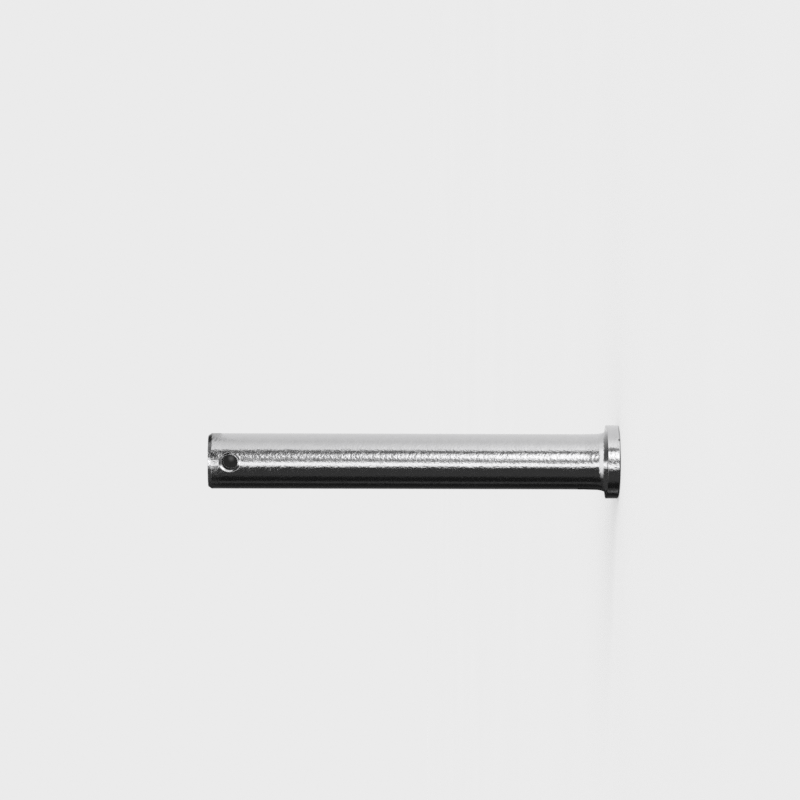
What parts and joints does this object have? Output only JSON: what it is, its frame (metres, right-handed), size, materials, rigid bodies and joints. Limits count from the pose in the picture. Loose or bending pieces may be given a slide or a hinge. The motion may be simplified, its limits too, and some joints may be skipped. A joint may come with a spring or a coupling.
{
  "type": "clevis pin",
  "caption": "Plain round clevis pin with a flat head and a cross hole near its tip for a split pin; joins a fork and an eye and lets them swing.",
  "frame": {"origin": "centre of the head's end face, on the surface that the pin stands on", "axes": "+Z along the shank's axis, from the head to the tip; the cross hole runs along Y"},
  "size_m": [0.0156, 0.0156, 0.0877],
  "materials": {
    "zinc_steel": "bright zinc plating, with fine grain and light handling marks"
  },
  "bodies": {
    "root": {"clevis_pin": "zinc_steel"}
  },
  "joints": []
}
